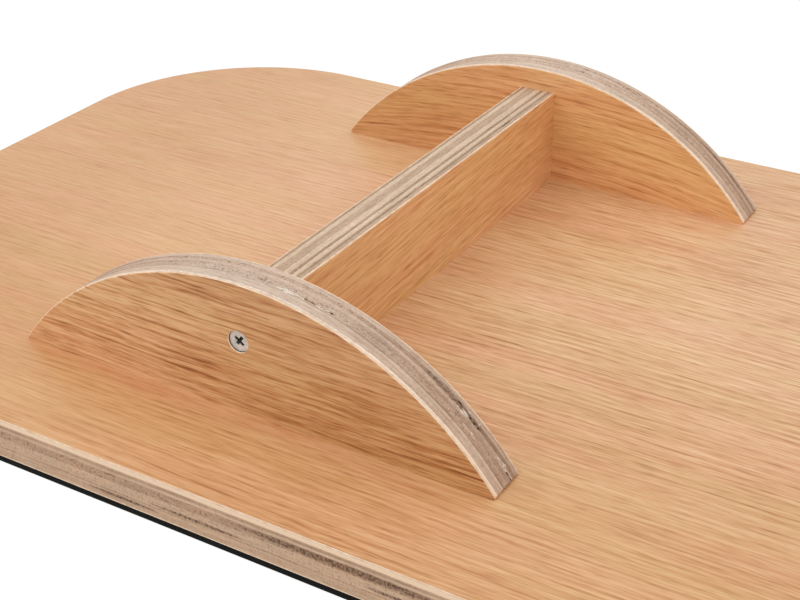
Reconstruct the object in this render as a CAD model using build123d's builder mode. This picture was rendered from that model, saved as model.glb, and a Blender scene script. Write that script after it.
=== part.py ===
"""A rocker balance board, lying on its anti-slip standing face with its rockers up.

Millimetres. The origin is at the centre of the standing face, +Z points up through the
deck to the rockers, +X runs along the rockers and +Y from the near rocker to the far one.
"""

import os
from math import sqrt

from build123d import *

# Deck: a rounded panel with an anti-slip mat over its standing side
deck_length = 560.0
deck_depth = 400.0
deck_corner_radius = 110.0
deck_ply = 18.0
mat_thickness = 3.0

# Decor laminate on both faces of every plywood panel, with its outer edges eased
laminate = 1.0
edge_ease = 0.6

# Rockers: segments of a disc that stand on the deck
rocker_radius = 149.0
rocker_height = 61.5
rocker_ply = 18.0
rocker_gap = 250.0
rocker_tip_round = 1.0

# Crossbar: stands on the deck and fills the gap between the rockers
crossbar_height = 50.0
crossbar_ply = 18.0

# Countersunk wood screws, 5 mm, with a cross recess
screw_radius = 2.5
screw_root_radius = 1.7
screw_pitch = 3.0
screw_ridge = 1.2
screw_point = 6.0
screw_neck = 6.0
head_radius = 4.85
head_land = 0.3
recess_width = 5.6
recess_slot = 1.5
recess_floor_radius = 0.9
recess_depth = 2.6
crossbar_screw_length = 60.0
deck_screw_length = 50.0

# How deep the heads lie and how far they are turned, and the room in the holes
crossbar_screw_sink = 0.7
crossbar_screw_turn = -36.0
deck_screw_sink = 0.2
head_room = 0.15
shank_hole_radius = 2.75
thread_clearance = 0.05
tip_room = 1.0

# Where the screws and dowels go
crossbar_screw_below_top = 15.0
crossbar_screw_x = 0.9
crossbar_deck_screw_inset = 65.0
inner_rocker_screw_x = 30.0
rocker_screw_cover = 8.0
dowel_above_deck = 15.0
dowel_radius = 4.0
dowel_length = 30.0
dowel_in_rocker = 12.0
dowel_chamfer = 1.0
dowel_flutes = 16
dowel_flute_radius = 0.4
dowel_clearance = 0.05

# Levels, faces and reaches that follow from the sizes above
deck_core_bottom = mat_thickness + laminate
deck_core_top = deck_core_bottom + deck_ply
deck_face = deck_core_top + laminate
deck_thickness = deck_ply + 2 * laminate
rocker_thickness = rocker_ply + 2 * laminate
rocker_inner_y = rocker_gap / 2
rocker_middle_y = rocker_inner_y + rocker_thickness / 2
rocker_outer_y = rocker_inner_y + rocker_thickness
rocker_centre_drop = rocker_radius - rocker_height
rocker_half_chord = sqrt(rocker_radius**2 - rocker_centre_drop**2)
crossbar_screw_z = deck_face + crossbar_height - crossbar_screw_below_top
dowel_z = deck_face + dowel_above_deck

# The outer rocker screws stand where their tips still have the stated wood over them
tip_above_deck = deck_screw_length - deck_thickness + deck_screw_sink
outer_rocker_screw_x = sqrt(
    rocker_radius**2 - (rocker_centre_drop + tip_above_deck + rocker_screw_cover) ** 2
)
rocker_screw_x = [
    -outer_rocker_screw_x,
    -inner_rocker_screw_x,
    inner_rocker_screw_x,
    outer_rocker_screw_x,
]


def save(piece, name):
    """Labels a finished piece and writes its STEP file."""
    piece.label = name
    export_step(piece, f"parts/{name}.step")


def facing(x, y, z, direction):
    """The plane of a drilled face, whose normal points out of the hole's mouth."""
    return Plane(origin=(x, y, z), x_dir=(1, 0, 0), z_dir=direction)


def make_screw(length):
    """A countersunk screw with its head's face at the origin and its point down -Z."""
    cone_depth = head_land + head_radius - screw_root_radius
    thread_top = cone_depth + screw_neck
    ridges = int((length - screw_point - thread_top) / screw_pitch) + 1
    outline = [(0, 0), (head_radius, 0), (head_radius, -head_land)]
    outline.append((screw_root_radius, -cone_depth))
    for i in range(ridges):
        crest = -thread_top - i * screw_pitch
        outline.append((screw_root_radius, crest + screw_ridge / 2))
        outline.append((screw_radius, crest))
        outline.append((screw_root_radius, crest - screw_ridge / 2))
    outline.append((screw_root_radius, -(length - screw_point) - screw_ridge))
    outline.append((0, -length))
    with BuildPart() as recess:
        with BuildSketch():
            Rectangle(recess_width, recess_slot)
            Rectangle(recess_slot, recess_width)
        extrude(amount=-recess_depth)
        Cone(
            recess_floor_radius,
            recess_width / 2,
            recess_depth,
            align=(Align.CENTER, Align.CENTER, Align.MAX),
            mode=Mode.INTERSECT,
        )
    with BuildPart() as screw:
        with BuildSketch(Plane.XZ):
            with BuildLine():
                Polyline(*outline, close=True)
            make_face()
        revolve(axis=Axis.Z)
        add(recess.part, mode=Mode.SUBTRACT)
    return screw.part


def make_screw_bore(length, sink, first_panel):
    """The hole for a screw: a countersink, a shank hole in the first panel and a thread hole."""
    mouth = head_radius + head_room
    wall = sink + head_land - head_room
    thread_hole = screw_radius + thread_clearance
    with BuildPart() as bore:
        with BuildSketch(Plane.XZ):
            with BuildLine():
                Polyline(
                    (0, 0),
                    (mouth, 0),
                    (mouth, -wall),
                    (shank_hole_radius, shank_hole_radius - mouth - wall),
                    (shank_hole_radius, -first_panel),
                    (thread_hole, -first_panel),
                    (thread_hole, -(sink + length + tip_room)),
                    (0, -(sink + length + tip_room)),
                    close=True,
                )
            make_face()
        revolve(axis=Axis.Z)
    return bore.part


def make_dowel():
    """A fluted dowel about the origin, along Z."""
    with BuildPart() as dowel:
        with BuildSketch(Plane.XY.offset(-dowel_length / 2)):
            Circle(dowel_radius)
            with PolarLocations(dowel_radius, dowel_flutes):
                Circle(dowel_flute_radius, mode=Mode.SUBTRACT)
        extrude(amount=dowel_length)
        with BuildSketch(Plane.XZ):
            with BuildLine():
                Polyline(
                    (0, -dowel_length / 2),
                    (dowel_radius - dowel_chamfer, -dowel_length / 2),
                    (dowel_radius, dowel_chamfer - dowel_length / 2),
                    (dowel_radius, dowel_length / 2 - dowel_chamfer),
                    (dowel_radius - dowel_chamfer, dowel_length / 2),
                    (0, dowel_length / 2),
                    close=True,
                )
            make_face()
        revolve(axis=Axis.Z, mode=Mode.INTERSECT)
    return dowel.part


def make_dowel_bore():
    """The two blind holes for a dowel, end to end about the origin, along Z."""
    with BuildPart() as bore:
        Cylinder(dowel_radius + dowel_clearance, dowel_length + tip_room)
    return bore.part


crossbar_screw = make_screw(crossbar_screw_length)
deck_screw = make_screw(deck_screw_length)
crossbar_screw_bore = make_screw_bore(crossbar_screw_length, crossbar_screw_sink, rocker_thickness)
deck_screw_bore = make_screw_bore(deck_screw_length, deck_screw_sink, deck_thickness)
dowel = make_dowel()
dowel_bore = make_dowel_bore()

# The faces that are drilled: side is -1 at the near rocker and 1 at the far one
side_names = {"near": -1, "far": 1}
crossbar_screw_planes = {
    name: facing(crossbar_screw_x, side * rocker_outer_y, crossbar_screw_z, (0, side, 0))
    for name, side in side_names.items()
}
dowel_planes = {
    name: facing(0, side * (rocker_inner_y + dowel_in_rocker - dowel_length / 2), dowel_z, (0, side, 0))
    for name, side in side_names.items()
}
rocker_screw_planes = {
    name: [facing(x, side * rocker_middle_y, mat_thickness, (0, 0, -1)) for x in rocker_screw_x]
    for name, side in side_names.items()
}
crossbar_deck_screw_planes = {
    name: facing(0, side * (rocker_inner_y - crossbar_deck_screw_inset), mat_thickness, (0, 0, -1))
    for name, side in side_names.items()
}
deck_screw_planes = [
    *rocker_screw_planes["near"],
    *rocker_screw_planes["far"],
    *crossbar_deck_screw_planes.values(),
]


def drill(bore, planes):
    """Cuts a bore at each plane out of the piece that is being built."""
    with Locations(*planes):
        add(bore, mode=Mode.SUBTRACT)


def deck_outline(level):
    """The deck's rounded outline at a level."""
    with BuildSketch(Plane.XY.offset(level)) as outline:
        RectangleRounded(deck_length, deck_depth, deck_corner_radius)
    return outline.sketch


def rocker_outline(y):
    """A rocker's outline, a segment of a disc standing on the deck, facing -Y."""
    with BuildSketch(Plane.XZ.offset(-y)) as outline:
        with BuildLine():
            Line((-rocker_half_chord, deck_face), (rocker_half_chord, deck_face))
            ThreePointArc(
                (rocker_half_chord, deck_face),
                (0, deck_face + rocker_height),
                (-rocker_half_chord, deck_face),
            )
        make_face()
        fillet(outline.vertices(), rocker_tip_round)
    return outline.sketch


def crossbar_outline(x):
    """The crossbar's side, standing on the deck, facing +X."""
    with BuildSketch(Plane.YZ.offset(x)) as outline:
        with Locations((0, deck_face)):
            Rectangle(rocker_gap, crossbar_height, align=(Align.CENTER, Align.MIN))
    return outline.sketch


def build_deck():
    """The mat and the three layers of the deck."""
    with BuildPart() as anti_slip_mat:
        extrude(deck_outline(0), amount=mat_thickness)
    save(anti_slip_mat.part, "anti_slip_mat")

    with BuildPart() as topside_laminate:
        extrude(deck_outline(mat_thickness), amount=laminate)
        drill(deck_screw_bore, deck_screw_planes)
    save(topside_laminate.part, "deck_topside_laminate")

    with BuildPart() as deck_core:
        extrude(deck_outline(deck_core_bottom), amount=deck_ply)
        drill(deck_screw_bore, deck_screw_planes)
    save(deck_core.part, "deck_core")

    with BuildPart() as underside_laminate:
        extrude(deck_outline(deck_core_top), amount=laminate)
        chamfer(underside_laminate.faces().sort_by(Axis.Z)[-1].edges(), edge_ease)
        drill(deck_screw_bore, deck_screw_planes)
    save(underside_laminate.part, "deck_underside_laminate")


def rocker_laminate(face_y, facing_side):
    """A rocker's laminate, whose visible face is at a Y value and looks along -Y or +Y."""
    back_y = face_y - facing_side * laminate
    with BuildPart() as sheet:
        extrude(rocker_outline(max(face_y, back_y)), amount=laminate)
        faces = sheet.faces().filter_by(Axis.Y).sort_by(Axis.Y)
        face = faces[0] if facing_side < 0 else faces[-1]
        chamfer(face.edges().filter_by(GeomType.CIRCLE), edge_ease)
    return sheet.part


def build_rocker(name, side):
    """The core and the two laminates of one rocker."""
    core_inner_y = side * (rocker_inner_y + laminate)
    core_outer_y = side * (rocker_outer_y - laminate)
    with BuildPart() as core:
        extrude(rocker_outline(max(core_inner_y, core_outer_y)), amount=rocker_ply)
        drill(crossbar_screw_bore, [crossbar_screw_planes[name]])
        drill(dowel_bore, [dowel_planes[name]])
        drill(deck_screw_bore, rocker_screw_planes[name])
    save(core.part, f"{name}_rocker_core")

    with BuildPart() as outer_laminate:
        add(rocker_laminate(side * rocker_outer_y, side))
        drill(crossbar_screw_bore, [crossbar_screw_planes[name]])
    save(outer_laminate.part, f"{name}_rocker_outer_laminate")

    with BuildPart() as inner_laminate:
        add(rocker_laminate(side * rocker_inner_y, -side))
        drill(crossbar_screw_bore, [crossbar_screw_planes[name]])
        drill(dowel_bore, [dowel_planes[name]])
    save(inner_laminate.part, f"{name}_rocker_inner_laminate")


def build_crossbar():
    """The crossbar's core and its two laminates, eased along their top edges."""
    core_x = crossbar_ply / 2
    with BuildPart() as crossbar_core:
        extrude(crossbar_outline(-core_x), amount=crossbar_ply)
        drill(crossbar_screw_bore, crossbar_screw_planes.values())
        drill(dowel_bore, dowel_planes.values())
        drill(deck_screw_bore, crossbar_deck_screw_planes.values())
    save(crossbar_core.part, "crossbar_core")

    with BuildPart() as left_laminate:
        extrude(crossbar_outline(-core_x - laminate), amount=laminate)
        chamfer(left_laminate.faces().sort_by(Axis.Z)[-1].edges().sort_by(Axis.X)[0], edge_ease)
    save(left_laminate.part, "crossbar_left_laminate")

    with BuildPart() as right_laminate:
        extrude(crossbar_outline(core_x), amount=laminate)
        chamfer(right_laminate.faces().sort_by(Axis.Z)[-1].edges().sort_by(Axis.X)[-1], edge_ease)
    save(right_laminate.part, "crossbar_right_laminate")


def place(piece, plane, sink, name, turn=0.0):
    """Writes a copy of a fastener, set below a drilled face by its sink and turned on its axis."""
    with BuildPart() as fastener:
        with Locations(plane.offset(-sink).location * Rotation(0, 0, turn)):
            add(piece)
    save(fastener.part, name)


def build_fasteners(name):
    """The screws and the dowel of one rocker and its end of the crossbar."""
    place(
        crossbar_screw,
        crossbar_screw_planes[name],
        crossbar_screw_sink,
        f"{name}_crossbar_screw",
        crossbar_screw_turn,
    )
    place(dowel, dowel_planes[name], 0, f"{name}_crossbar_dowel")
    for number, plane in enumerate(rocker_screw_planes[name], start=1):
        place(deck_screw, plane, deck_screw_sink, f"{name}_rocker_screw_{number}")
    place(deck_screw, crossbar_deck_screw_planes[name], deck_screw_sink, f"crossbar_deck_screw_{name}")


os.makedirs("parts", exist_ok=True)
build_deck()
build_crossbar()
for side_name, side_sign in side_names.items():
    build_rocker(side_name, side_sign)
    build_fasteners(side_name)
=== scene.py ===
"""The looks of a rocker balance board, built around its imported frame. Metres, Z up.

The board lies on its black anti-slip mat with its two rockers and their crossbar upwards.
"""

import math

import bmesh
import bpy
from mathutils import Matrix, Vector, noise


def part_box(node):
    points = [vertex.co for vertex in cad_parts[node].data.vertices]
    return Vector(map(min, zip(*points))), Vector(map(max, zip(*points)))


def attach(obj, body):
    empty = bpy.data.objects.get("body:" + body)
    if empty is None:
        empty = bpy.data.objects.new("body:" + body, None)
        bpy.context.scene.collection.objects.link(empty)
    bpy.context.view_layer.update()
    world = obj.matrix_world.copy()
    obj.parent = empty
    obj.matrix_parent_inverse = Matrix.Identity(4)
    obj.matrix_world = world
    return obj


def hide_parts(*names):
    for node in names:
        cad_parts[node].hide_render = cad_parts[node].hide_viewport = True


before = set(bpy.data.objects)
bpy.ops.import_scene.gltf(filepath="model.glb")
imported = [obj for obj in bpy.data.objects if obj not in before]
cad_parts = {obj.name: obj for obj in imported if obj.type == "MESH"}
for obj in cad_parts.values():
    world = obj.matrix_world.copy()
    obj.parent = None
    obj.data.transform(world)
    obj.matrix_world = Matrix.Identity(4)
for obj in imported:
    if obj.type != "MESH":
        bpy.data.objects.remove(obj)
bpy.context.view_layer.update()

# Sizes that the frame's boxes don't give
DECK_CORNER_RADIUS = 0.110
ROCKER_ARC_RADIUS = 0.149
ROCKER_TIP_ROUND = 0.001
EDGE_EASE = 0.0006
EASE_WAVER = 0.22
SCREW_HOLE_ROOM = 0.00015
SCREW_HOLE_CHIP = 0.0004
SCREW_HOLE_SIDES = 48
FOOT_STEP = 0.02
CROSSBAR_STEP = 0.025

# The eased edge's section, as shares of its ease: how far in and how far below the face
EASE_PROFILE = ((1.0, 0.0), (0.38, 0.38), (0.0, 1.0))

# How finely the sawn edges are divided, along and across the panel
DECK_EDGE_STEP = 0.0012
ROCKER_EDGE_STEP = 0.0005
CROSSBAR_EDGE_STEP = 0.0005
SAWN_ROWS = 42

# How far the sawn edges' faults are cut in or stand proud
SAWN_DEPTHS = {
    "Gap Depth": 0.0008, "Glue Depth": 0.00010, "Grain Depth": 0.00012, "Fibre Height": 0.00025,
}

# As shares of a panel's thickness: half a glue line's width, and the strip along each face
# over which the cut fades out
GLUE_REACH = 0.014
FACE_STRIP = 0.04

# The levels between which the cut starts: above a rocker's foot, and below the crossbar's top
ROCKER_CUT_START = (0.0005, 0.0025)
CROSSBAR_CUT_START = 0.0005

# Between which values of their noise, or distances from their middle, the faults begin
GAP_ONSET = (0.84, 0.87)
TORN_ONSET = (0.74, 0.78)
FIBRE_ONSET = (0.50, 0.60)
FAULT_RIM = (1.05, 0.75)
STAIN_RIM = (1.2, 0.3)

# Each panel's outline lies in two axes, and its thickness runs along the third
PANEL_AXES = {"deck": (0, 1, 2), "rocker": (0, 2, 1), "crossbar": (1, 2, 0)}

# How wide the oak's growth rings are, across the grain, and how far they sway and ripple
RING_WIDTH = 0.0037
RING_SWAY = 0.008
RING_RIPPLE = 0.0016

# The layers of the oak's grain: features per metre along and across it, an offset and how
# much detail
OAK_LAYERS = {
    "drift": (3.5, 26.0, 4.0, 1.0),
    "calm": (2.2, 9.0, 6.0, 1.0),
    "bands": (4.0, 40.0, 7.0, 2.0),
    "lines": (26.0, 640.0, 8.0, 4.0),
    "fibres": (90.0, 1600.0, 9.0, 3.0),
    "pores": (90.0, 1500.0, 10.0, 1.0),
    "hue": (6.0, 45.0, 11.0, 1.0),
}

# The screws' and dowels' holes
SHANK_HOLE_RADIUS = 0.00275
THREAD_HOLE_RADIUS = 0.00255
HEAD_LAND = 0.0003
TIP_ROOM = 0.001
DOWEL_ROOM = 0.00005
BORE_SIDES = 32

# How far below a screw head's face the painted shade in its cross recess starts and is full,
# and how far from its axis
RECESS_DEPTHS = (0.00008, 0.0007)
RECESS_REACH = (0.0031, 0.0027)

# The mat's outline step, its rounded lower edge, as how far in and how far up, and its pimples
MAT_STEP = 0.004
MAT_EDGE = ((0.0005, 0.0), (0.0001, 0.0002), (0.0, 0.0006))
PIMPLE_PITCH = 0.008
PIMPLE_RADIUS = 0.0016
PIMPLE_HEIGHT = 0.0003
PIMPLE_MARGIN = 0.003

# The camera: the point it looks at, how far off and in which direction it stands, and its lens
CAMERA_TARGET = (0.0079, -0.0303, 0.023)
CAMERA_DISTANCE = 0.7218
CAMERA_AZIMUTH = 31.50
CAMERA_ELEVATION = 29.67
CAMERA_ROLL = -0.65
CAMERA_LENS = 68.94
CAMERA_SENSOR = 36.0
CAMERA_CLIP = 0.01

# The studio: half the floor's width and its glow, the dome's strength and how much more it is
# on the right, and the softbox's place, size and power
FLOOR_REACH = 8.0
FLOOR_GLOW = 0.97
DOME_STRENGTH = 0.905
DOME_TILT = 0.11
SOFTBOX_PLACE = (-0.8, -0.6, 1.2)
SOFTBOX_SIZE = 1.2
SOFTBOX_POWER = 5.5


# ---------------------------------------------------------------- node graphs

class Wire:
    """One output of a node. Arithmetic on it adds Math nodes to its graph."""

    def __init__(self, graph, socket):
        self.graph = graph
        self.socket = socket

    def __add__(self, other):
        return self.graph.maths("ADD", self, other)

    def __sub__(self, other):
        return self.graph.maths("SUBTRACT", self, other)

    def __rsub__(self, other):
        return self.graph.maths("SUBTRACT", other, self)

    def __mul__(self, other):
        return self.graph.maths("MULTIPLY", self, other)

    def __truediv__(self, other):
        return self.graph.maths("DIVIDE", self, other)

    def __pow__(self, other):
        return self.graph.maths("POWER", self, other)

    def __abs__(self):
        return self.graph.maths("ABSOLUTE", self)

    __radd__ = __add__
    __rmul__ = __mul__


class Graph:
    """Adds nodes to a material's tree or a geometry tree."""

    def __init__(self, tree):
        self.tree = tree

    def add(self, kind, settings=None, inputs=None, output=0):
        """Adds a node: its settings, then the values or links of its inputs. Returns one output."""
        node = self.tree.nodes.new(kind)
        for name, value in (settings or {}).items():
            if name == "stops":
                self.set_stops(node.color_ramp, value)
            else:
                setattr(node, name, value)
        for key, value in (inputs or {}).items():
            if isinstance(value, Wire):
                self.tree.links.new(value.socket, node.inputs[key])
            else:
                node.inputs[key].default_value = value
        return Wire(self, node.outputs[output]) if node.outputs else None

    def set_stops(self, ramp, stops):
        """Fills a colour ramp, whose first stop gives its interpolation's name."""
        ramp.interpolation = stops[0]
        while len(ramp.elements) > 1:
            ramp.elements.remove(ramp.elements[-1])
        ramp.elements[0].position = stops[1][0]
        ramp.elements[0].color = stops[1][1]
        for position, tone in stops[2:]:
            ramp.elements.new(position).color = tone

    def maths(self, operation, *values):
        """One Math node on values."""
        return self.add("ShaderNodeMath", {"operation": operation}, dict(enumerate(values)))

    def limit(self, value):
        """The value kept between 0 and 1."""
        return self.add("ShaderNodeClamp", inputs={0: value, 1: 0.0, 2: 1.0})

    def fade(self, value, low, high):
        """0 below low, 1 above high, and a smooth step between them."""
        settings = {"interpolation_type": "SMOOTHSTEP"}
        return self.add("ShaderNodeMapRange", settings, {0: value, 1: low, 2: high, 3: 0.0, 4: 1.0})

    def vector(self, x, y, z):
        """A vector from its three parts."""
        return self.add("ShaderNodeCombineXYZ", inputs={0: x, 1: y, 2: z})

    def parts(self, vector):
        """The X, Y and Z of a vector, by name."""
        split = self.add("ShaderNodeSeparateXYZ", inputs={0: vector}).socket.node
        return {name: Wire(self, split.outputs[name]) for name in "XYZ"}

    def noise(self, place, detail=2.0):
        """Soft noise with features about as large as one unit of its place."""
        settings = {"noise_dimensions": "3D", "normalize": True}
        inputs = {"Vector": place, "Scale": 1.0, "Detail": detail, "Roughness": 0.5}
        return self.add("ShaderNodeTexNoise", settings, inputs)

    def scaled_noise(self, scales, detail=2.0):
        """Noise at an object's own place, with so many features per metre along X, Y and Z."""
        place = self.add("ShaderNodeTexCoord", output="Object")
        return self.noise(self.add("ShaderNodeMapping", inputs={0: place, 3: scales}), detail)

    def mix(self, factor, first, second, blend="MIX"):
        """Mixes two colours."""
        settings = {"data_type": "RGBA", "blend_type": blend}
        return self.add("ShaderNodeMix", settings, {0: factor, 6: first, 7: second}, output=2)

    def ramp(self, value, stops):
        """The colour that a ramp gives for a value."""
        return self.add("ShaderNodeValToRGB", {"stops": stops}, {0: value})


def colour(red, green, blue):
    """A linear colour from the 0 to 255 values of a screen colour."""
    def linear(level):
        part = level / 255
        return part / 12.92 if part <= 0.04045 else ((part + 0.055) / 1.055) ** 2.4
    return (linear(red), linear(green), linear(blue), 1.0)


# Tones of each finish, by where they lie on its ramp
OAK_TONES = [
    "LINEAR",
    (0.10, colour(244, 204, 162)),
    (0.40, colour(226, 176, 131)),
    (0.62, colour(204, 147, 99)),
    (0.90, colour(158, 101, 58)),
]
SANDED_TONES = [
    "LINEAR",
    (0.30, colour(222, 187, 155)),
    (0.50, colour(243, 211, 181)),
    (0.70, colour(253, 230, 204)),
]
PLY_TONES = [
    "LINEAR",
    (0.00, colour(120, 92, 72)),
    (0.30, colour(164, 135, 113)),
    (0.60, colour(206, 183, 163)),
    (0.80, colour(226, 205, 186)),
    (1.00, colour(251, 231, 211)),
]
ZINC_TONES = [
    "LINEAR",
    (0.30, colour(198, 200, 190)),
    (0.52, colour(220, 220, 214)),
    (0.70, colour(238, 232, 230)),
]
BEECH_TONES = [
    "LINEAR",
    (0.35, colour(224, 190, 152)),
    (0.62, colour(203, 162, 120)),
    (0.75, colour(160, 116, 80)),
]
BLACK, WHITE = colour(0, 0, 0), colour(255, 255, 255)


def new_finish(name):
    """An empty material and its graph."""
    material = bpy.data.materials.new(name)
    material.use_nodes = True
    material.node_tree.nodes.clear()
    return material, Graph(material.node_tree)


def close_finish(graph, base, roughness, height=None, relief=0.0, constants=None):
    """Ends a material with its shader. relief is how deep, in metres, the bump of height is."""
    inputs = {"Base Color": base, "Roughness": roughness, **(constants or {})}
    if height is not None:
        bump = {"Strength": 1.0, "Distance": relief, "Height": height}
        inputs["Normal"] = graph.add("ShaderNodeBump", inputs=bump)
    shader = graph.add("ShaderNodeBsdfPrincipled", inputs=inputs)
    graph.add("ShaderNodeOutputMaterial", inputs={"Surface": shader})


# ---------------------------------------------------------------- finishes

def oak_finish(
    name, along, across, shift, contrast=1.0, slant=0.0, arch=0.0, shade=0.34,
    tint=WHITE, washes=(), soft=None,
):
    """Light-oak decor laminate: growth bands, thin dark lines, fine fibres and short pores.

    along and across name the axes of the face, and shift sets its grain apart from another
    face's. contrast and shade are how strong and how dark the grain is. slant tilts the lines,
    and arch bends them into the flame of a flat-sawn board. The tint lies all over. Each wash
    is an axis, where along it the wash starts and is full, and its colour. soft is an axis,
    where along it the grain starts to soften and is softest, and how much is lost there.
    """
    material, graph = new_finish(name)
    place = graph.parts(graph.add("ShaderNodeTexCoord", output="Object"))
    if soft is not None:
        axis, start, end, lost = soft
        contrast = contrast * (1.0 - graph.fade(place[axis], start, end) * lost)
    run = place[along]
    rise = place[across] + run * slant + run ** 2.0 * arch
    sway = graph.noise(graph.vector(run * 4.0, rise * 9.0, shift), detail=1.0)
    rise = rise + (sway - 0.5) * RING_SWAY
    ripple = graph.noise(graph.vector(run * 40.0, rise * 90.0, shift + 2.0), detail=2.0)
    rise = rise + (ripple - 0.5) * RING_RIPPLE

    def grain(layer):
        run_scale, rise_scale, offset, detail = OAK_LAYERS[layer]
        spot = graph.vector(run * run_scale, rise * rise_scale, shift + offset)
        return graph.noise(spot, detail)

    phase = rise / RING_WIDTH + (grain("drift") - 0.5) * 5.0
    ring = graph.maths("FLOOR", phase)
    through = phase - ring
    late = graph.fade(through, 0.45, 0.90) * graph.fade(through, 1.0, 0.94)
    vigour = graph.noise(graph.vector(run * 8.0, ring * 7.31, shift + 5.0), 2.0)
    line = late * (graph.fade(vigour, 0.32, 0.66) * 0.8 + 0.2)
    line = line * (graph.fade(grain("calm"), 0.3, 0.55) * 0.7 + 0.3)
    bands, lines, fibres = grain("bands"), grain("lines"), grain("fibres")
    pore = graph.fade(grain("pores"), 0.56, 0.70) * (late * 0.6 + 0.4)

    depth = (bands - 0.5) * (0.34 * contrast) + (lines - 0.5) * (1.10 * contrast)
    depth = depth + (fibres - 0.5) * (0.70 * contrast) + line * (0.18 * contrast) + shade
    tone = graph.ramp(depth, OAK_TONES)
    hue = graph.fade(grain("hue"), 0.35, 0.65)
    cast = graph.mix(hue, colour(252, 255, 249), colour(255, 251, 253))
    tone = graph.mix(1.0, tone, cast, "MULTIPLY")
    tone = graph.mix(1.0, tone, tint, "MULTIPLY")
    for axis, start, end, wash in washes:
        tone = graph.mix(graph.fade(place[axis], start, end), tone, wash, "MULTIPLY")
    tone = graph.mix(pore * (0.36 * contrast), tone, colour(134, 82, 44))
    gloss = 0.38 + (fibres - 0.5) * 0.12 + pore * 0.2
    close_finish(graph, tone, gloss, fibres * 0.35 - pore - line * 0.2, relief=0.00006)
    return material


def eased_edge_finish(name, light):
    """The pale, sanded edge of the laminate, or with less light in it a drilled wall in painted
    shade.
    """
    material, graph = new_finish(name)
    mottle = graph.scaled_noise((260.0,) * 3, detail=3.0)
    tone = graph.ramp(mottle, SANDED_TONES)
    if light < 1.0:
        # painted shade: a drilled wall is darkened towards deep brown
        tone = graph.mix(1.0 - light, tone, colour(40, 26, 16))
    close_finish(graph, tone, 0.55 + (mottle - 0.5) * 0.2, mottle, relief=0.00008)
    return material


# Plies of each core across its thickness, from its low side: where each ends, its shade, how
# much of its sawn face is end grain, and how many gaps it has
ROCKER_PLIES = [
    (0.075, 0.98, 0.0, 0.0), (0.25, 0.62, 0.3, 0.0), (0.33, 0.68, 0.2, 0.0), (0.37, 0.44, 0.5, 0.1),
    (0.55, 0.56, 0.8, 0.1), (0.64, 0.50, 0.7, 0.0), (0.76, 0.60, 0.5, 0.0), (0.87, 0.42, 0.9, 0.4),
    (1.00, 0.60, 0.3, 0.0),
]
DECK_PLIES = [
    (0.03, 0.66, 0.1, 0.0), (0.15, 0.56, 0.3, 0.0), (0.23, 0.62, 0.4, 0.0), (0.26, 0.50, 0.8, 0.0),
    (0.52, 0.66, 0.6, 0.0), (0.72, 0.52, 1.0, 0.2), (0.80, 0.66, 0.2, 0.0), (0.86, 0.46, 0.4, 0.0),
    (0.89, 0.62, 0.2, 0.0), (1.00, 1.12, 0.0, 0.0),
]
CROSSBAR_PLIES = [
    (0.08, 0.42, 0.4, 0.2), (0.20, 0.70, 0.1, 0.0), (0.43, 0.51, 0.3, 0.0), (0.60, 0.70, 0.1, 0.0),
    (0.64, 0.46, 0.2, 0.1), (0.69, 0.32, 0.2, 0.2), (0.81, 0.73, 0.1, 0.0), (0.84, 0.50, 0.2, 0.2),
    (0.90, 0.36, 0.7, 0.6), (1.00, 0.52, 0.2, 0.0),
]

# Faults in the cores' edges: a gap, torn fibres or a stain, where its middle is along X and
# through the core, and half its length and width
DECK_FAULTS = [
    ("stain", 0.086, 0.65, 0.056, 0.10), ("stain", 0.018, 0.32, 0.026, 0.05),
    ("stain", -0.020, 0.15, 0.020, 0.05), ("stain", 0.110, 0.36, 0.016, 0.05),
    ("gap", -0.1005, 0.47, 0.0007, 0.05),
]
NEAR_ROCKER_FAULTS = [
    ("gap", 0.0330, 0.44, 0.0050, 0.022), ("gap", 0.0952, 0.87, 0.0012, 0.032),
    ("gap", 0.1003, 0.80, 0.0005, 0.030), ("gap", 0.1022, 0.79, 0.0005, 0.036),
    ("gap", 0.1039, 0.78, 0.0004, 0.026), ("gap", 0.1192, 0.70, 0.0022, 0.022),
    ("gap", 0.0412, 0.44, 0.0010, 0.030), ("torn", 0.0225, 0.40, 0.0065, 0.070),
    ("torn", 0.0380, 0.43, 0.0050, 0.055), ("torn", 0.0975, 0.74, 0.0026, 0.060),
    ("torn", 0.0955, 0.46, 0.0032, 0.035), ("torn", 0.1020, 0.50, 0.0040, 0.038),
    ("torn", 0.1160, 0.71, 0.0030, 0.065), ("torn", -0.0070, 0.43, 0.0022, 0.035),
    ("stain", 0.0900, 0.83, 0.0120, 0.120), ("stain", 0.1020, 0.80, 0.0040, 0.080),
    ("torn", 0.1010, 0.86, 0.0030, 0.040), ("stain", 0.0080, 0.49, 0.0016, 0.060),
    ("stain", 0.0125, 0.45, 0.0012, 0.050),
]
FAR_ROCKER_FAULTS = [
    ("gap", 0.0210, 0.62, 0.0030, 0.025), ("gap", -0.0630, 0.74, 0.0040, 0.022),
    ("torn", 0.0270, 0.58, 0.0035, 0.045), ("torn", -0.0540, 0.72, 0.0030, 0.035),
    ("stain", 0.1000, 0.82, 0.0120, 0.060), ("stain", 0.0500, 0.72, 0.0100, 0.040),
]


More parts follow.
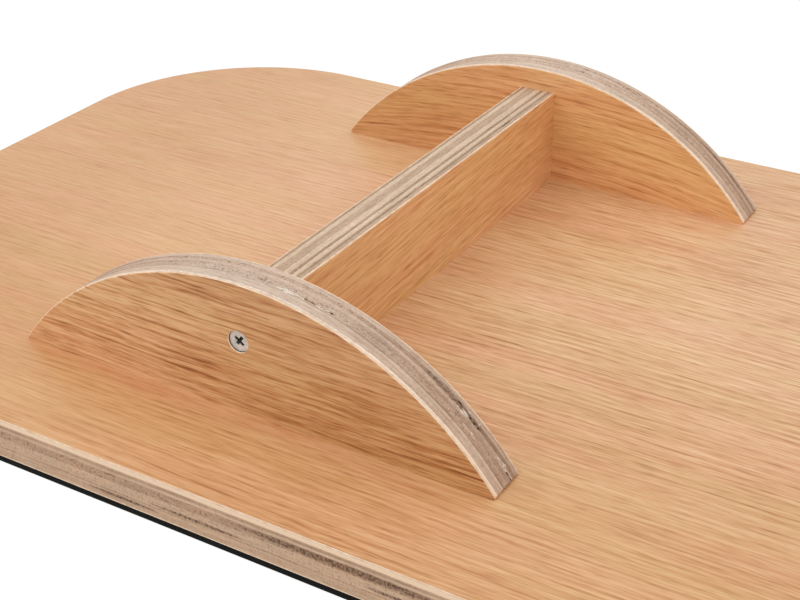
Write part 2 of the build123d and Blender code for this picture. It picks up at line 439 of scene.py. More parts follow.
def sawn_pattern(graph, panel, place):
    """What a plywood edge shows at a place: one rule that both cuts its shape and colours it."""
    axes = "XYZ"
    first, second, through = (place[axes[axis]] for axis in PANEL_AXES[panel["kind"]])
    across = (through - panel["low"]) / panel["thickness"]
    seed = panel["seed"]

    def edge_noise(run_scale, across_scale, offset, detail=2.0, level=across):
        depth = level * across_scale + (seed + offset)
        return graph.noise(graph.vector(first * run_scale, second * run_scale, depth), detail)

    level = across + (edge_noise(14.0, 2.0, 0.0) - 0.5) * 0.04
    starts = [0.0] + [ply[0] for ply in panel["plies"][:-1]]
    steps = [(start, (*ply[1:], 1.0)) for start, ply in zip(starts, panel["plies"])]
    ply = graph.parts(graph.ramp(level, ["CONSTANT", *steps]))

    seams = ["LINEAR"]
    for start in starts[1:]:
        seams += [(start - GLUE_REACH, BLACK), (start, WHITE), (start + GLUE_REACH, BLACK)]
    glue = graph.parts(graph.ramp(level, seams))["X"]
    glue = glue * graph.fade(edge_noise(45.0, 6.0, 3.0, level=level), 0.38, 0.66)

    ragged = edge_noise(520.0, 22.0, 6.0, 3.0)
    gap = edge_noise(60.0, 3.0, 5.0, 1.0, level) + ragged * 0.3
    gap = graph.fade(gap, *GAP_ONSET) * ply["Z"]
    fibrous = graph.fade(edge_noise(330.0, 26.0, 8.0), *FIBRE_ONSET)
    torn = fibrous * graph.fade(edge_noise(20.0, 2.0, 9.0, 1.0, level), *TORN_ONSET)
    stain = None
    for fault, along, at, half_length, half_width in panel["faults"]:
        u = (first - along) / half_length
        v = (across - at) / half_width
        reach = u * u + v * v
        if fault == "gap":
            inside = graph.fade(reach + (ragged - 0.5) * 2.4, *FAULT_RIM)
            gap = graph.maths("MAXIMUM", gap, inside)
        elif fault == "torn":
            inside = graph.fade(reach + (ragged - 0.5) * 3.2, *FAULT_RIM)
            torn = graph.maths("MAXIMUM", torn, inside * fibrous)
        else:
            inside = graph.fade(reach + (ragged - 0.5) * 1.2, *STAIN_RIM)
            stain = inside if stain is None else graph.maths("MAXIMUM", stain, inside)
    torn = torn * graph.limit(1.0 - gap)
    return {
        "across": across,
        "shade": ply["X"],
        "end grain": ply["Y"],
        "glue": glue,
        "gap": gap,
        "torn": torn,
        "stain": stain,
        "steep": graph.fade(abs(first), 0.010, 0.110) if panel["kind"] == "rocker" else None,
        "saw": edge_noise(700.0, 3.0, 11.0),
        "noise": edge_noise,
    }


def plywood_finish(panel):
    """A sawn plywood edge: pale long-grain plies, speckled end grain, glue lines and gaps."""
    material, graph = new_finish(f"{panel['name']} plywood edge")
    sawn = graph.add("ShaderNodeAttribute", {"attribute_name": "sawn place"}, output=1)
    place = graph.parts(sawn)
    pattern = sawn_pattern(graph, panel, place)
    edge_noise = pattern["noise"]
    thickness = panel["thickness"]
    speckle = edge_noise(780.0, thickness * 780.0, 13.0)
    streaks = edge_noise(60.0, thickness * 900.0, 15.0, 3.0)
    fibres = edge_noise(220.0, thickness * 2200.0, 16.0, 2.0)
    blotch = edge_noise(30.0, 3.0, 17.0)

    shade = pattern["shade"]
    steep = pattern["steep"]
    if steep is not None:
        flank = 0.64 + (shade - 0.60) * (0.45 + steep * 0.75) - steep * 0.11
        crisp = graph.fade(shade, 0.80, 0.98) * (0.75 + steep * 0.25)
        shade = graph.maths("MAXIMUM", flank, crisp)
    shade = shade + (blotch - 0.5) * 0.28 + (speckle - 0.5) * 0.60
    shade = shade + (streaks - 0.5) * (0.46 - pattern["end grain"] * 0.20)
    shade = shade + (fibres - 0.5) * 0.40 + (pattern["saw"] - 0.5) * 0.15
    dots = graph.fade(speckle, 0.53, 0.62) * pattern["end grain"]
    tone = graph.ramp(shade, PLY_TONES)
    tone = graph.mix(1.0, tone, panel["tint"], "MULTIPLY")
    if steep is not None:
        tone = graph.mix(steep, tone, colour(255, 246, 238), "MULTIPLY")
    blush = pattern["end grain"] * graph.fade(blotch, 0.35, 0.65) * 0.35
    tone = graph.mix(blush, tone, colour(248, 214, 192), "MULTIPLY")
    tone = graph.mix(dots * 0.75, tone, colour(128, 93, 68))
    tone = graph.mix(pattern["glue"] * panel["glue"], tone, colour(118, 92, 72))
    if pattern["stain"] is not None:
        stain = pattern["stain"] * (graph.fade(speckle, 0.38, 0.60) * 0.50 + panel["stain"])
        tone = graph.mix(stain, tone, colour(98, 68, 46))
    # painted shade: the gaps are cut in and also painted dark, for the shade deep in each void
    tone = graph.mix(pattern["gap"] * 0.9, tone, colour(62, 40, 26))
    tone = graph.mix(pattern["torn"] * 0.75, tone, colour(250, 240, 226))
    height = streaks * 0.4 + fibres * 0.3 - dots * 0.4
    close_finish(graph, tone, 0.80 - dots * 0.05, height, relief=0.00012)
    return material


def rubber_finish():
    """Black anti-slip rubber with a fine grain and a little dust."""
    material, graph = new_finish("anti-slip rubber")
    grain = graph.scaled_noise((1800.0,) * 3, detail=3.0)
    dust = graph.scaled_noise((35.0,) * 3, detail=4.0)
    tone = graph.mix(graph.fade(dust, 0.45, 0.80), colour(10, 8, 7), colour(24, 22, 20))
    dull = {"Specular IOR Level": 0.2}
    close_finish(graph, tone, 0.75 + (grain - 0.5) * 0.3, grain, relief=0.00012, constants=dull)
    return material


def zinc_finish(name, head=None):
    """Zinc-plated steel, satin and a little cloudy, with painted shade in its head's cross recess.

    head is where a screw's axis stands in X and Z and the distance of its face along Y.
    """
    material, graph = new_finish(name)
    cloud = graph.scaled_noise((420.0,) * 3, detail=3.0)
    scratch = graph.scaled_noise((3200.0, 500.0, 900.0))
    tone = graph.ramp(cloud, ZINC_TONES)
    gloss = 0.42 + (cloud - 0.5) * 0.25 + (scratch - 0.5) * 0.10
    if head is not None:
        spot = graph.parts(graph.add("ShaderNodeTexCoord", output="Object"))
        reach = ((spot["X"] - head[0]) ** 2.0 + (spot["Z"] - head[1]) ** 2.0) ** 0.5
        sunk = graph.fade(head[2] - abs(spot["Y"]), *RECESS_DEPTHS)
        # painted shade: the cross recess darkens with depth below the head's face and nearness to
        # the axis
        recess_shade = sunk * graph.fade(reach, *RECESS_REACH)
        tone = graph.mix(recess_shade * 0.94, tone, colour(26, 28, 32))
        gloss = gloss + recess_shade * 0.1
    close_finish(graph, tone, gloss, scratch, relief=0.00003, constants={"Metallic": 0.55})
    return material


def beech_finish():
    """Raw beech with short flecks, for the dowels."""
    material, graph = new_finish("raw beech")
    fleck = graph.scaled_noise((900.0, 90.0, 900.0), detail=3.0)
    tone = graph.ramp(fleck, BEECH_TONES)
    close_finish(graph, tone, 0.70 + (fleck - 0.5) * 0.1, fleck, relief=0.00008)
    return material


def floor_finish():
    """A plain white studio floor, lit so brightly that it holds no shadow."""
    material, graph = new_finish("studio floor")
    glow = {"Specular IOR Level": 0.0, "Emission Color": WHITE, "Emission Strength": FLOOR_GLOW}
    close_finish(graph, (0.06, 0.06, 0.06, 1.0), 0.9, constants=glow)
    return material


# ---------------------------------------------------------------- outlines

def arc_points(centre, radius, start, end, step):
    """Points along an arc, angles in radians, from start to just before end."""
    count = max(2, math.ceil(abs(end - start) * radius / step))
    return [
        (
            centre[0] + radius * math.cos(start + (end - start) * i / count),
            centre[1] + radius * math.sin(start + (end - start) * i / count),
        )
        for i in range(count)
    ]


def line_points(start, end, step):
    """Points along a straight run, from start to just before end."""
    length = math.dist(start, end)
    count = max(1, math.ceil(length / step))
    return [
        (start[0] + (end[0] - start[0]) * i / count, start[1] + (end[1] - start[1]) * i / count)
        for i in range(count)
    ]


def deck_outline(low, high, step):
    """The deck's rounded outline, anticlockwise from above."""
    radius = DECK_CORNER_RADIUS
    corners = [
        (high[0] - radius, low[1] + radius),
        (high[0] - radius, high[1] - radius),
        (low[0] + radius, high[1] - radius),
        (low[0] + radius, low[1] + radius),
    ]
    points = []
    for quarter, corner in enumerate(corners):
        start = (quarter - 1) * math.pi / 2
        points += arc_points(corner, radius, start, start + math.pi / 2, step)
        reach = (radius * math.cos(start + math.pi / 2), radius * math.sin(start + math.pi / 2))
        following = corners[(quarter + 1) % 4]
        leave = (corner[0] + reach[0], corner[1] + reach[1])
        arrive = (following[0] + reach[0], following[1] + reach[1])
        points += line_points(leave, arrive, step)
    return points


def rocker_outline(low, high, step):
    """A rocker's outline in X and Z: its arc, its two eased tips and its straight foot."""
    centre = (0.0, high[2] - ROCKER_ARC_RADIUS)
    drop = low[2] - centre[1]
    tip = ROCKER_TIP_ROUND
    tip_x = math.sqrt((ROCKER_ARC_RADIUS - tip) ** 2 - (drop + tip) ** 2)
    tip_angle = math.atan2(drop + tip, tip_x)
    tip_centre = (tip_x, low[2] + tip)
    points = arc_points(centre, ROCKER_ARC_RADIUS, tip_angle, math.pi - tip_angle, step)
    points += arc_points((-tip_x, tip_centre[1]), tip, math.pi - tip_angle, 1.5 * math.pi, tip / 3)
    points += line_points((-tip_x, low[2]), (tip_x, low[2]), FOOT_STEP)
    points += arc_points(tip_centre, tip, -math.pi / 2, tip_angle, tip / 3)
    return points


def crossbar_outline(low, high, step):
    """The crossbar's outline in Y and Z, from its near top corner."""
    points = line_points((high[1], high[2]), (low[1], high[2]), step)
    points += line_points((low[1], high[2]), (low[1], low[2]), CROSSBAR_STEP)
    points += line_points((low[1], low[2]), (high[1], low[2]), CROSSBAR_STEP)
    points += line_points((high[1], low[2]), (high[1], high[2]), CROSSBAR_STEP)
    return points


def panel_point(kind, point, depth):
    """A point of a panel's outline at a depth along its thickness, in space."""
    first, second, through = PANEL_AXES[kind]
    place = [0.0, 0.0, 0.0]
    place[first], place[second], place[through] = point[0], point[1], depth
    return place


# ---------------------------------------------------------------- meshes

def add_object(name, data):
    """A new object in the scene, from its mesh, light or camera."""
    made = bpy.data.objects.new(name, data)
    bpy.context.scene.collection.objects.link(made)
    return made


def new_piece(name, mesh, finish=None):
    """A mesh as a piece, with a finish where it has none yet."""
    if not mesh.materials:
        mesh.materials.append(finish)
    return add_object(name, mesh)


def make_plain(carrier):
    """The plain mesh that an object's modifier makes. The object goes."""
    graph = bpy.context.evaluated_depsgraph_get()
    mesh = bpy.data.meshes.new_from_object(
        carrier.evaluated_get(graph), preserve_all_data_layers=True, depsgraph=graph
    )
    bpy.data.objects.remove(carrier)
    return mesh


def close_mesh(builder, name):
    """Points every face outwards and returns the mesh."""
    bmesh.ops.recalc_face_normals(builder, faces=builder.faces[:])
    mesh = bpy.data.meshes.new(name)
    builder.to_mesh(mesh)
    builder.free()
    return mesh


def ring_at(builder, kind, points, depth):
    """A closed ring of a panel's outline at a depth along its thickness."""
    return [builder.verts.new(panel_point(kind, point, depth)) for point in points]


def join_rings(builder, first, second, finish=0):
    """Smooth quads between two closed rings of equal length."""
    for i in range(len(first)):
        j = (i + 1) % len(first)
        face = builder.faces.new((first[i], first[j], second[j], second[i]))
        face.material_index = finish
        face.smooth = True


def close_tube(builder, rings):
    """Joins rings into a tube and closes its two ends."""
    for first, second in zip(rings, rings[1:]):
        join_rings(builder, first, second)
    builder.faces.new(rings[0])
    builder.faces.new(rings[-1])


def fill_between(builder, rings):
    """Flat triangles inside the first ring, with the other rings as holes."""
    edges = [
        builder.edges.get((ring[i - 1], ring[i])) or builder.edges.new((ring[i - 1], ring[i]))
        for ring in rings
        for i in range(len(ring))
    ]
    bmesh.ops.triangle_fill(builder, edges=edges, use_beauty=True)


def waver(point, depth, scale, seed):
    """Smooth noise from -1 to 1 along a panel's edge."""
    return noise.noise(Vector((point[0] * scale, point[1] * scale, depth * scale + seed)))


def eased_outline(kind, points, distance, foot, seed):
    """An anticlockwise outline moved inwards, by a distance that wavers as hand sanding does.

    Points that stand on the deck stay where they are.
    """
    moved = []
    for i, point in enumerate(points):
        along = Vector(points[(i + 1) % len(points)]) - Vector(points[i - 1])
        inwards = Vector((-along.y, along.x)).normalized()
        if kind == "crossbar":
            inwards = Vector((0.0, -1.0))
        share = 1.0
        if foot is not None:
            share = min(1.0, max(0.0, (point[1] - foot) / ROCKER_TIP_ROUND))
        reach = distance * share * (1.0 + EASE_WAVER * waver(point, 0.0, 60.0, seed))
        moved.append((point[0] + inwards.x * reach, point[1] + inwards.y * reach))
    return moved


def laminate_mesh(panel, points, face, back, hole=None):
    """A laminate sheet: its flat face, eased edge, side and back, and perhaps a screw's hole."""
    kind, foot, seed = panel["kind"], panel["foot"], panel["seed"]
    builder = bmesh.new()
    inward = math.copysign(1.0, back - face)
    rings = []
    for inset, depth in EASE_PROFILE:
        moved = eased_outline(kind, points, EDGE_EASE * inset, foot, seed)
        rings.append(ring_at(builder, kind, moved, face + inward * EDGE_EASE * depth))
    rings.append(ring_at(builder, kind, points, back))
    for i, (first, second) in enumerate(zip(rings, rings[1:])):
        join_rings(builder, first, second, finish=min(i, 1))  # the first ease is still oak
    face_rings, back_rings = [rings[0]], [rings[-1]]
    if hole is not None:
        centre, radius = hole
        mouth, throat = [], []  # the mouth is chipped, most of all on its low left side
        for i in range(SCREW_HOLE_SIDES):
            turn = 2 * math.pi * i / SCREW_HOLE_SIDES
            spoke = (math.cos(turn), math.sin(turn))
            low_side = max(0.0, -spoke[0] * 0.7 - spoke[1] * 0.7)
            ragged = 1.0 + 0.5 * waver(spoke, 0.0, 3.0, seed)
            wide = radius + SCREW_HOLE_CHIP * (0.15 + low_side * ragged)
            mouth.append((centre[0] + spoke[0] * wide, centre[1] + spoke[1] * wide))
            throat.append((centre[0] + spoke[0] * radius, centre[1] + spoke[1] * radius))
        face_rings.append(ring_at(builder, kind, mouth, face))
        lip = ring_at(builder, kind, throat, face + inward * SCREW_HOLE_CHIP * 0.4)
        back_rings.append(ring_at(builder, kind, throat, back))
        join_rings(builder, face_rings[1], lip, finish=1)
        # the wall below the lip takes the drilled finish, painted shade in the hole
        join_rings(builder, lip, back_rings[1], finish=2)
    fill_between(builder, face_rings)
    fill_between(builder, back_rings)
    return close_mesh(builder, f"{panel['name']} laminate")


def core_blank(panel, points):
    """A plywood panel with a fine grid round its edge and flat, plain faces."""
    kind = panel["kind"]
    builder = bmesh.new()
    rings = [
        ring_at(builder, kind, points, panel["low"] + panel["thickness"] * row / SAWN_ROWS)
        for row in range(SAWN_ROWS + 1)
    ]
    close_tube(builder, rings)
    return close_mesh(builder, f"{panel['name']} blank")


def grow(name, blank, tree, sizes):
    """Runs a geometry tree on a blank mesh with the named sizes and returns the plain result."""
    carrier = add_object(name, blank)
    modifier = carrier.modifiers.new(name, "NODES")
    modifier.node_group = tree
    for item in tree.interface.items_tree:
        if item.name in sizes:
            modifier[item.identifier] = sizes[item.name]
    return make_plain(carrier)


def new_tree(name, sizes):
    """A geometry tree with a geometry input and output, and an input for each named size."""
    tree = bpy.data.node_groups.new(name, "GeometryNodeTree")
    tree.interface.new_socket("Geometry", in_out="INPUT", socket_type="NodeSocketGeometry")
    tree.interface.new_socket("Geometry", in_out="OUTPUT", socket_type="NodeSocketGeometry")
    for size in sizes:
        tree.interface.new_socket(size, in_out="INPUT", socket_type="NodeSocketFloat")
    graph = Graph(tree)
    opening = tree.nodes.new("NodeGroupInput")
    given = {socket.name: Wire(graph, socket) for socket in opening.outputs if socket.name}
    return tree, graph, given


def end_tree(graph, geometry, finish):
    """Ends a geometry tree with plain geometry in its finish."""
    real = graph.add("GeometryNodeRealizeInstances", inputs={"Geometry": geometry})
    done = graph.add("GeometryNodeSetMaterial", inputs={"Geometry": real, "Material": finish})
    graph.add("NodeGroupOutput", inputs={"Geometry": done})


def sawn_edge_tree(panel, finish):
    """Cuts glue lines, rough end grain, gaps and torn fibres into a panel's edge."""
    sizes = ["Gap Depth", "Glue Depth", "Grain Depth", "Fibre Height", "Bare From", "Bare To"]
    tree, graph, given = new_tree(f"{panel['name']} sawn edge", sizes)
    position = graph.add("GeometryNodeInputPosition")
    place = graph.parts(position)
    pattern = sawn_pattern(graph, panel, place)
    across = pattern["across"]
    middle = graph.fade(across, 0.0, FACE_STRIP) * graph.fade(1.0 - across, 0.0, FACE_STRIP)
    second = place["XYZ"[PANEL_AXES[panel["kind"]][1]]]
    bare = graph.fade(second, given["Bare From"], given["Bare To"])
    grain = (pattern["noise"](900.0, 22.0, 21.0) - 0.5) * (0.4 + pattern["end grain"])
    height = (
        pattern["torn"] * given["Fibre Height"]
        - pattern["gap"] * given["Gap Depth"]
        - pattern["glue"] * given["Glue Depth"]
        + grain * given["Grain Depth"]
    )
    push = graph.add(
        "ShaderNodeVectorMath",
        {"operation": "SCALE"},
        {"Vector": graph.add("GeometryNodeInputNormal"), "Scale": height * middle * bare},
    )
    stored = graph.add(
        "GeometryNodeStoreNamedAttribute",
        {"data_type": "FLOAT_VECTOR", "domain": "POINT"},
        {"Geometry": given["Geometry"], "Name": "sawn place", "Value": position},
    )
    cut = graph.add("GeometryNodeSetPosition", inputs={"Geometry": stored, "Offset": push})
    end_tree(graph, cut, finish)
    return tree


def pimple_tree(finish):
    """Sets low domes on a square grid under the mat, inside its rounded outline."""
    sizes = ["Length", "Depth", "Pitch", "Corner Radius", "Pimple Radius", "Pimple Height", "Level"]
    tree, graph, given = new_tree("mat pimples", sizes)
    columns = graph.maths("FLOOR", given["Length"] / given["Pitch"]) + 1.0
    rows = graph.maths("FLOOR", given["Depth"] / given["Pitch"]) + 1.0
    grid = graph.add("GeometryNodeMeshGrid", inputs={
        "Size X": (columns - 1.0) * given["Pitch"],
        "Size Y": (rows - 1.0) * given["Pitch"],
        "Vertices X": columns,
        "Vertices Y": rows,
    })
    place = graph.parts(graph.add("GeometryNodeInputPosition"))
    straight_x = given["Length"] / 2.0 - given["Corner Radius"]
    straight_y = given["Depth"] / 2.0 - given["Corner Radius"]
    past_x = graph.maths("MAXIMUM", abs(place["X"]) - straight_x, 0.0)
    past_y = graph.maths("MAXIMUM", abs(place["Y"]) - straight_y, 0.0)
    reach = (past_x ** 2.0 + past_y ** 2.0) ** 0.5
    inside = graph.maths("LESS_THAN", reach, given["Corner Radius"])
    spots = graph.add("GeometryNodeMeshToPoints", inputs={"Mesh": grid, "Selection": inside})
    dome = graph.add("GeometryNodeMeshUVSphere", inputs={
        "Segments": 8, "Rings": 6, "Radius": given["Pimple Radius"],
    })
    squash = graph.vector(1.0, 1.0, given["Pimple Height"] / given["Pimple Radius"])
    dome = graph.add("GeometryNodeTransform", inputs={"Geometry": dome, "Scale": squash})
    top = graph.parts(graph.add("GeometryNodeInputPosition"))["Z"]
    upper = graph.maths("GREATER_THAN", top, given["Pimple Height"] * 0.1)
    dome = graph.add(
        "GeometryNodeDeleteGeometry", {"domain": "POINT"}, {"Geometry": dome, "Selection": upper}
    )
    field = graph.add("GeometryNodeInstanceOnPoints", inputs={"Points": spots, "Instance": dome})
    lowered = graph.add("GeometryNodeTransform", inputs={
        "Geometry": field, "Translation": graph.vector(0.0, 0.0, given["Level"]),
    })
    joined = graph.add("GeometryNodeJoinGeometry", inputs={"Geometry": lowered})
    graph.tree.links.new(given["Geometry"].socket, joined.socket.node.inputs["Geometry"])
    end_tree(graph, joined, finish)
    return tree


def mat_blank(points, low, high):
    """The mat's slab, with its lower edge a little rounded."""
    builder = bmesh.new()
    rings = []
    for inset, rise in MAT_EDGE:
        moved = eased_outline("deck", points, inset, None, 0.0)
        rings.append(ring_at(builder, "deck", moved, low + rise))
    rings.append(ring_at(builder, "deck", points, high))
    close_tube(builder, rings)
    return close_mesh(builder, "mat blank")


def turn_solid(builder, start, way, profile):
    """A closed turned solid from a start along a way: profile is its distances and radii."""
    side = Vector((1.0, 0.0, 0.0))
    up = way.cross(side)
    rings = []
    for distance, radius in profile:
        ring = []
        for i in range(BORE_SIDES):
            turn = 2 * math.pi * i / BORE_SIDES
            spoke = side * math.cos(turn) + up * math.sin(turn)
            ring.append(builder.verts.new(start + way * distance + spoke * radius))
        rings.append(ring)
    close_tube(builder, rings)


def cut_screw_hole(builder, screw, entry, leave, way):
    """The hole of a screw that enters a panel at one level of its axis and leaves at another."""
    low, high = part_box(screw)
    axis = 1 if abs(way.y) > 0.5 else 2
    start = (low + high) / 2
    start[axis] = entry
    head_level = low[axis] if way[axis] > 0 else high[axis]
    sink, length = abs(head_level - entry), high[axis] - low[axis]
    head_radius = (high.x - low.x) / 2
    mouth, wall = head_radius + SCREW_HOLE_ROOM, sink + HEAD_LAND - SCREW_HOLE_ROOM
    panel = abs(leave - entry)
    turn_solid(builder, start, way, [
        (-TIP_ROOM, mouth), (wall, mouth), (wall + mouth - SHANK_HOLE_RADIUS, SHANK_HOLE_RADIUS),
        (panel, SHANK_HOLE_RADIUS), (panel, THREAD_HOLE_RADIUS),
        (sink + length + TIP_ROOM, THREAD_HOLE_RADIUS),
    ])


def make_cutter():
    """Every screw and dowel hole of the board as one hidden solid."""
    builder = bmesh.new()
    deck_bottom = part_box("deck_topside_laminate")[0].z
    deck_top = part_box("deck_underside_laminate")[1].z
    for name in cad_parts:
        if name.startswith("crossbar_deck_screw") or "_rocker_screw_" in name:
            cut_screw_hole(builder, name, deck_bottom, deck_top, Vector((0.0, 0.0, 1.0)))
        elif name.endswith("_crossbar_screw"):
            side = name.split("_")[0]
            sign = -1.0 if side == "near" else 1.0
            reach = [abs(corner.y) for panel in ("outer", "inner")
                     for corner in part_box(f"{side}_rocker_{panel}_laminate")]
            way = Vector((0.0, -sign, 0.0))
            cut_screw_hole(builder, name, sign * max(reach), sign * min(reach), way)
        elif name.endswith("_dowel"):
            low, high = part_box(name)
            start = (low + high) / 2
            start.y = low.y
            radius = (high.x - low.x) / 2 + DOWEL_ROOM
            ends = [(-TIP_ROOM / 2, radius), (high.y - low.y + TIP_ROOM / 2, radius)]
            turn_solid(builder, start, Vector((0.0, 1.0, 0.0)), ends)
    return add_object("holes", close_mesh(builder, "holes"))


def drilled(mesh):
    """The mesh with the screw and dowel holes cut out of it."""
    carrier = add_object("carrier", mesh)
    modifier = carrier.modifiers.new("holes", "BOOLEAN")
    modifier.operation = "DIFFERENCE"
    modifier.solver = "MANIFOLD"
    modifier.object = cutter
    return make_plain(carrier)


# ---------------------------------------------------------------- the board's pieces

def make_panel(
    name, kind, outline, step, plies, seed, foot=None, faults=(), tint=WHITE, glue=0.3, stain=0.12
):
    """What a panel's core, laminates and finishes share.

    tint, glue and stain are the colour over its sawn edge and how dark its glue lines and
    stains are. Above foot its laminates' edges are eased.
    """
    low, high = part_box(f"{name}_core")
    through = PANEL_AXES[kind][2]
    return {
        "name": name, "kind": kind, "plies": plies, "seed": seed, "foot": foot,
        "faults": faults, "tint": tint, "glue": glue, "stain": stain,
        "low": low[through], "thickness": high[through] - low[through],
        "points": outline(low, high, step),
    }


def set_piece(piece, node):
    """Fixes a piece on the board, in place of its CAD node."""
    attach(piece, "root")
    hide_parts(node)


def add_core(panel, bare_from=-1.0, bare_to=-0.9):
    """The panel's plywood. Its sawn edge is cut in above the two levels that it starts at."""
    finish = plywood_finish(panel)
    sizes = {**SAWN_DEPTHS, "Bare From": bare_from, "Bare To": bare_to}
    tree = sawn_edge_tree(panel, finish)
    mesh = grow(f"{panel['name']} core", core_blank(panel, panel["points"]), tree, sizes)
    piece = new_piece(f"{panel['name']}_plywood", drilled(mesh), finish)
    set_piece(piece, f"{panel['name']}_core")


def add_laminate(panel, node, face_is_low, finish, hole=None):
    """One laminate sheet of a panel, in place of its CAD node."""
    low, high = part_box(node)
    through = PANEL_AXES[panel["kind"]][2]
    face, back = (low[through], high[through]) if face_is_low else (high[through], low[through])
    mesh = laminate_mesh(panel, panel["points"], face, back, hole)
    for layer in (finish, eased_finish, hole_shade_finish):
        mesh.materials.append(layer)
    if hole is None:
        mesh = drilled(mesh)
    set_piece(new_piece(f"{node}_sheet", mesh), node)


def screw_hole(node):
    """Where a rocker's outer screw hole is and how wide its mouth is."""
    low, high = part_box(node)
    middle = (low + high) / 2
    return (middle.x, middle.z), (high.x - low.x) / 2 + SCREW_HOLE_ROOM


cutter = make_cutter()
eased_finish = eased_edge_finish("sanded laminate edge", 1.0)
# the drilled walls' dark finish is painted shade in the screw holes
hole_shade_finish = eased_edge_finish("drilled laminate wall, painted shade", 0.16)

deck = make_panel(
    "deck", "deck", deck_outline, DECK_EDGE_STEP, DECK_PLIES, 3.0,
    faults=DECK_FAULTS, tint=colour(255, 241, 224), stain=0.42,
)
add_core(deck)
deck_oak = oak_finish(
    "deck oak laminate", "X", "Y", 0.0, 0.95, soft=("X", 0.06, -0.14, 0.45),
    washes=[
        ("X", -0.08, -0.23, colour(240, 233, 223)),
        ("Y", 0.00, -0.17, colour(243, 233, 216)),
    ],
)
add_laminate(deck, "deck_underside_laminate", False, deck_oak)
add_laminate(deck, "deck_topside_laminate", True, deck_oak)

near_oak = oak_finish(
    "near rocker oak laminate", "X", "Z", 21.0, 1.5, tint=colour(249, 243, 229),
    washes=[("X", -0.07, 0.05, colour(241, 234, 223))],
)
far_oak = oak_finish(
    "far rocker oak laminate", "X", "Z", 33.0, 1.1, arch=0.9, shade=0.27,
    tint=colour(253, 243, 218), washes=[("X", 0.01, -0.08, colour(238, 235, 230))],
)
lighter = colour(263, 263, 263)  # above white: it lifts the far rocker's sawn edge
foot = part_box("near_rocker_core")[0].z
for side, oak, seed, faults, tint in (
    ("near", near_oak, 40.0, NEAR_ROCKER_FAULTS, WHITE),
    ("far", far_oak, 55.0, FAR_ROCKER_FAULTS, lighter),
):
    rocker = make_panel(
        f"{side}_rocker", "rocker", rocker_outline, ROCKER_EDGE_STEP, ROCKER_PLIES, seed, foot,
        faults, tint,
    )
    add_core(rocker, *(foot + level for level in ROCKER_CUT_START))
    hole = screw_hole(f"{side}_crossbar_screw")
    add_laminate(rocker, f"{side}_rocker_outer_laminate", side == "near", oak, hole)
    add_laminate(rocker, f"{side}_rocker_inner_laminate", side == "far", oak)

crossbar_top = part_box("crossbar_core")[1].z
crossbar = make_panel(
    "crossbar", "crossbar", crossbar_outline, CROSSBAR_EDGE_STEP, CROSSBAR_PLIES, 70.0,
    crossbar_top - ROCKER_TIP_ROUND, tint=colour(255, 250, 238), glue=0.2,
)
add_core(crossbar, crossbar_top - CROSSBAR_CUT_START, crossbar_top)
crossbar_oak = oak_finish(
    "crossbar oak laminate", "Y", "Z", 47.0, slant=-0.06, tint=colour(253, 241, 218)
)
add_laminate(crossbar, "crossbar_left_laminate", True, crossbar_oak)
add_laminate(crossbar, "crossbar_right_laminate", False, crossbar_oak)

bpy.data.objects.remove(cutter)
rubber = rubber_finish()
mat_low, mat_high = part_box("anti_slip_mat")
mat_points = deck_outline(mat_low, mat_high, MAT_STEP)
mat_level = mat_low.z + PIMPLE_HEIGHT
mat_sizes = {
    "Length": mat_high.x - mat_low.x - 2 * PIMPLE_MARGIN,
    "Depth": mat_high.y - mat_low.y - 2 * PIMPLE_MARGIN,
    "Pitch": PIMPLE_PITCH,
    "Corner Radius": DECK_CORNER_RADIUS - PIMPLE_MARGIN,
    "Pimple Radius": PIMPLE_RADIUS,
    "Pimple Height": PIMPLE_HEIGHT,
    "Level": mat_level,
}
mat = new_piece(
    "anti_slip_mat_pimpled",
    grow("mat", mat_blank(mat_points, mat_level, mat_high.z), pimple_tree(rubber), mat_sizes),
    rubber,
)
set_piece(mat, "anti_slip_mat")

screw_low, screw_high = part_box("near_crossbar_screw")
screw_axis = (screw_low + screw_high) / 2
zinc = zinc_finish("zinc-plated steel")
head = (screw_axis.x, screw_axis.z, -screw_low.y)
# painted shade in the crossbar screws' cross recesses
crossbar_zinc = zinc_finish("zinc-plated steel, painted recess shade", head)
beech = beech_finish()
for name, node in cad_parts.items():
    if "screw" not in name and "dowel" not in name:
        continue
    finish = beech if "dowel" in name else zinc
    if name.endswith("crossbar_screw"):
        finish = crossbar_zinc
    node.data.materials.clear()
    node.data.materials.append(finish)


# ---------------------------------------------------------------- studio

def add_floor():
    """A wide white floor under the board."""
    mesh = bpy.data.meshes.new("studio floor")
    corners = [
        (x * FLOOR_REACH, y * FLOOR_REACH, 0.0) for x, y in ((-1, -1), (1, -1), (1, 1), (-1, 1))
    ]
    mesh.from_pydata(corners, [], [(0, 1, 2, 3)])
    floor = new_piece("studio_floor", mesh, floor_finish())
    floor.visible_diffuse = False
    floor.visible_glossy = False


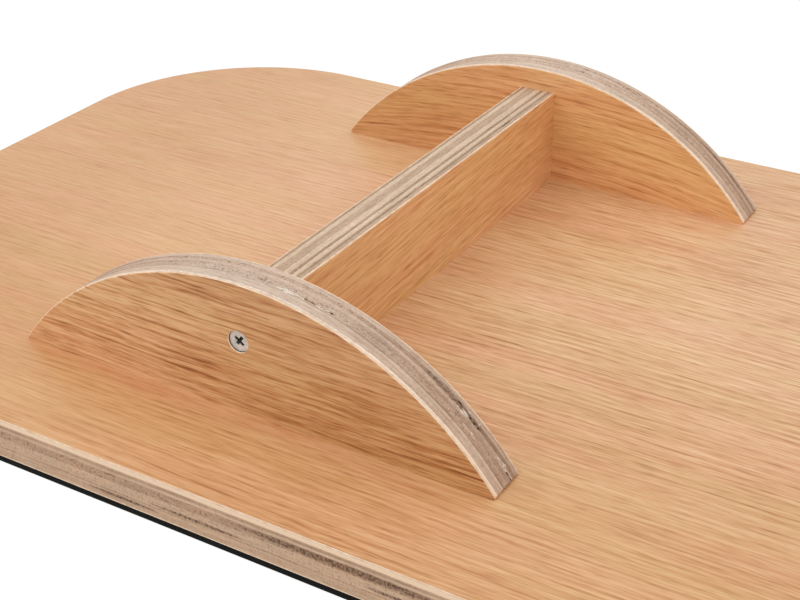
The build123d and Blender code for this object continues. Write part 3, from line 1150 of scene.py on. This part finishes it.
def add_softbox():
    """A square soft light in front on the left, turned to the board."""
    data = bpy.data.lights.new("front softbox", "AREA")
    data.shape = "SQUARE"
    data.size = SOFTBOX_SIZE
    data.energy = SOFTBOX_POWER
    light = add_object("front softbox", data)
    light.location = SOFTBOX_PLACE
    light.rotation_euler = (-Vector(SOFTBOX_PLACE)).to_track_quat("-Z", "Y").to_euler()


def add_dome():
    """A white light tent: bright from the horizon up and a little more so on the right."""
    world = bpy.data.worlds.new("light tent")
    world.use_nodes = True
    world.node_tree.nodes.clear()
    graph = Graph(world.node_tree)
    way = graph.parts(graph.add("ShaderNodeTexCoord", output="Generated"))
    above = graph.fade(way["Z"], -0.08, 0.08)
    tone = graph.mix(above, (0.74, 0.73, 0.72, 1.0), (0.97, 0.97, 0.97, 1.0))
    strength = DOME_STRENGTH + way["X"] * DOME_TILT
    light = graph.add("ShaderNodeBackground", inputs={"Color": tone, "Strength": strength})
    graph.add("ShaderNodeOutputWorld", inputs={"Surface": light})
    bpy.context.scene.world = world


def add_camera():
    """The camera, at its direction and distance from its target, with its small roll."""
    azimuth, elevation, roll = (
        math.radians(angle) for angle in (CAMERA_AZIMUTH, CAMERA_ELEVATION, CAMERA_ROLL)
    )
    back = Vector((
        math.sin(azimuth) * math.cos(elevation),
        -math.cos(azimuth) * math.cos(elevation),
        math.sin(elevation),
    ))
    right = back.cross(Vector((0.0, 0.0, -1.0))).normalized()
    up = back.cross(right)
    turned_right = right * math.cos(roll) + up * math.sin(roll)
    turned_up = up * math.cos(roll) - right * math.sin(roll)
    data = bpy.data.cameras.new("camera")
    data.lens = CAMERA_LENS
    data.sensor_width = CAMERA_SENSOR
    data.clip_start = CAMERA_CLIP
    camera = add_object("camera", data)
    turn = Matrix((turned_right, turned_up, back)).transposed().to_4x4()
    stand = Vector(CAMERA_TARGET) + back * CAMERA_DISTANCE
    camera.matrix_world = Matrix.Translation(stand) @ turn
    bpy.context.scene.camera = camera


add_floor()
add_softbox()
add_dome()
bpy.context.scene.view_settings.view_transform = "Standard"
add_camera()
